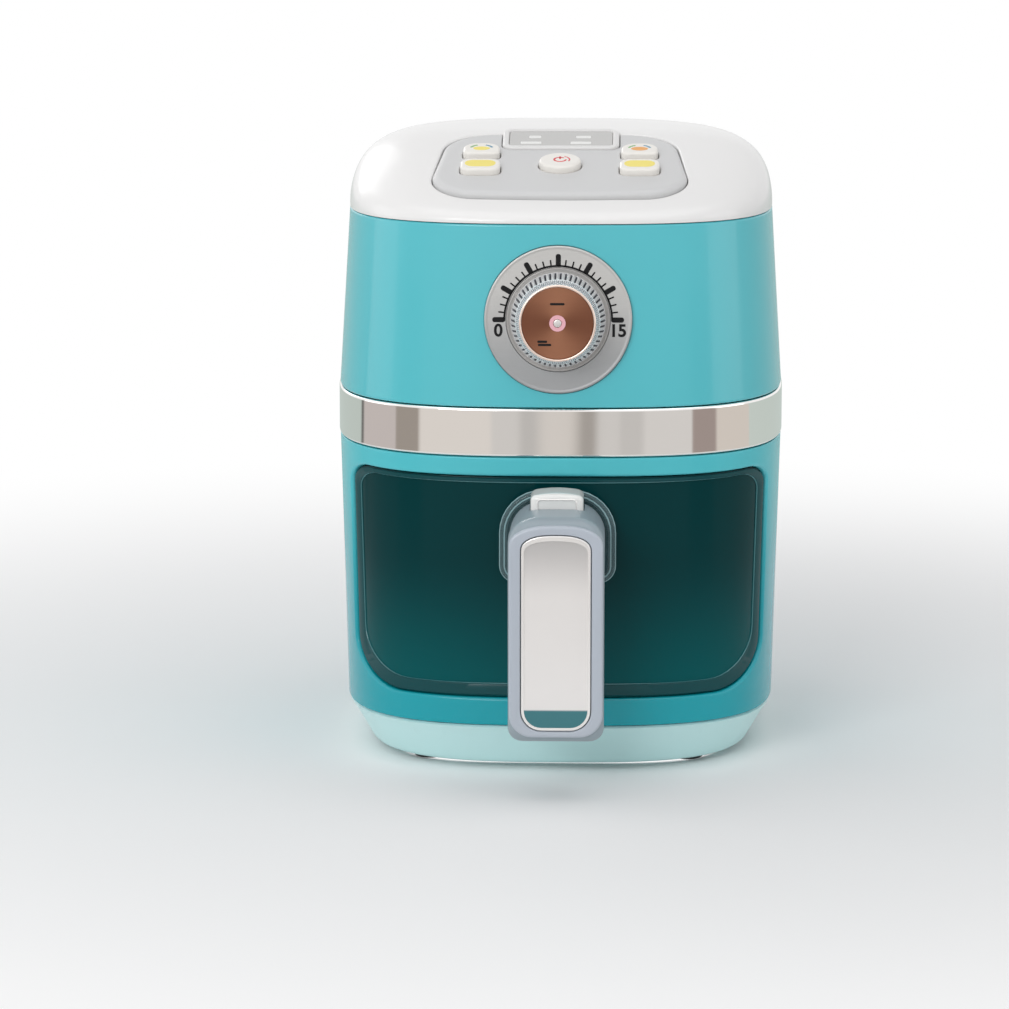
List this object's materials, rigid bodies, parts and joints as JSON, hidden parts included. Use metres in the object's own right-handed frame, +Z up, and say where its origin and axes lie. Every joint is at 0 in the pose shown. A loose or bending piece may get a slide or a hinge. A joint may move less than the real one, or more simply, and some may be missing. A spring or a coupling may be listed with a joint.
{
  "type": "toy air fryer",
  "caption": "Toy air fryer with a pull-out drawer and basket, a clicking dial, push buttons on a sloped panel, a battery base and a power switch.",
  "frame": {"origin": "on the floor, under the middle of the whole toy with its handle", "axes": "+Z up, -Y to the front where the handle is, +X to the right as seen from the front"},
  "size_m": [0.16, 0.1986, 0.2211],
  "materials": {
    "mint_plastic": "satin",
    "teal_plastic": "gloss",
    "white_plastic": "gloss",
    "panel_plastic": "satin",
    "lens_plastic": "gloss",
    "silver_plastic": "silver paint",
    "chrome": "plated",
    "copper_finish": "copper brown",
    "window_plastic": "smoked gloss",
    "collar_plastic": "clear smoked",
    "clear_plastic": "clear",
    "handle_plastic": "satin",
    "inlay_finish": "bright silver",
    "button_plastic": "gloss",
    "dark_plastic": "satin",
    "liner_plastic": "matt",
    "tray_metal": "satin",
    "steel": "zinc plated",
    "rubber": "matt",
    "cell_jacket": "gloss",
    "board": "matt"
  },
  "bodies": {
    "housing": {"base": "mint_plastic", "foot_1": "rubber", "foot_2": "rubber", "foot_3": "rubber", "foot_4": "rubber", "battery_door": "mint_plastic", "battery_door_screw": "steel", "battery_1": "cell_jacket", "battery_2": "cell_jacket", "battery_3": "cell_jacket", "battery_contact_front": "steel", "battery_contact_rear": "steel", "power_switch_body": "steel", "base_screw_1": "steel", "base_screw_2": "steel", "base_screw_3": "steel", "base_screw_4": "steel", "lower_shell": "teal_plastic", "bay_liner": "liner_plastic", "runner_left": "steel", "runner_right": "steel", "mid_deck": "liner_plastic", "drawer_light": "clear_plastic", "chrome_band": "chrome", "upper_shell": "teal_plastic", "speaker": "dark_plastic", "dial_bezel": "silver_plastic", "dial_bracket": "liner_plastic", "detent_spring": "steel", "top_lid": "white_plastic", "control_panel": "panel_plastic", "display_frame": "white_plastic", "display_lens": "lens_plastic", "circuit_board": "board"},
    "drawer": {"drawer_front": "teal_plastic", "drawer_window": "window_plastic", "front_carrier": "dark_plastic", "basket": "dark_plastic", "handle": "handle_plastic", "handle_inlay": "inlay_finish", "handle_collar": "collar_plastic", "handle_screw_1": "steel", "handle_screw_2": "steel"},
    "tray": {"grill_tray": "tray_metal"},
    "release": {"release_button": "silver_plastic"},
    "dial": {"dial_knob": "chrome", "dial_cap": "copper_finish", "dial_shaft": "steel", "detent_wheel": "white_plastic"},
    "start_button": {"button_start": "button_plastic"},
    "left_front_button": {"button_left_front": "button_plastic"},
    "left_back_button": {"button_left_back": "button_plastic"},
    "right_front_button": {"button_right_front": "button_plastic"},
    "right_back_button": {"button_right_back": "button_plastic"},
    "switch_slider": {"power_switch": "dark_plastic"}
  },
  "joints": [
    {"name": "drawer_slide", "type": "slide", "parent": "housing", "child": "drawer", "axis": [0, -1, 0], "range_m": [0, 0.066]},
    {"name": "tray_lift", "type": "slide", "parent": "drawer", "child": "tray", "axis": [0, 0, 1], "range_m": [0, 0.062]},
    {"name": "release_press", "type": "slide", "parent": "drawer", "child": "release", "axis": [0, 0, -1], "range_m": [0, 0.0025], "stiffness_N_per_m": 300, "springref_m": -0.002},
    {"name": "dial_turn", "type": "hinge", "parent": "housing", "child": "dial", "pos_m": [0, -0.05851, 0.162], "axis": [0, -0.9981, 0.0614], "range_deg": [-90, 90]},
    {"name": "start_press", "type": "slide", "parent": "housing", "child": "start_button", "axis": [0, 0.247, -0.969], "range_m": [0, 0.0015], "stiffness_N_per_m": 200, "springref_m": -0.0015},
    {"name": "left_front_press", "type": "slide", "parent": "housing", "child": "left_front_button", "axis": [0, 0.247, -0.969], "range_m": [0, 0.0015], "stiffness_N_per_m": 200, "springref_m": -0.0015},
    {"name": "left_back_press", "type": "slide", "parent": "housing", "child": "left_back_button", "axis": [0, 0.247, -0.969], "range_m": [0, 0.0015], "stiffness_N_per_m": 200, "springref_m": -0.0015},
    {"name": "right_front_press", "type": "slide", "parent": "housing", "child": "right_front_button", "axis": [0, 0.247, -0.969], "range_m": [0, 0.0015], "stiffness_N_per_m": 200, "springref_m": -0.0015},
    {"name": "right_back_press", "type": "slide", "parent": "housing", "child": "right_back_button", "axis": [0, 0.247, -0.969], "range_m": [0, 0.0015], "stiffness_N_per_m": 200, "springref_m": -0.0015},
    {"name": "power_switch_slide", "type": "slide", "parent": "housing", "child": "switch_slider", "axis": [1, 0, 0], "range_m": [0, 0.004]}
  ]
}
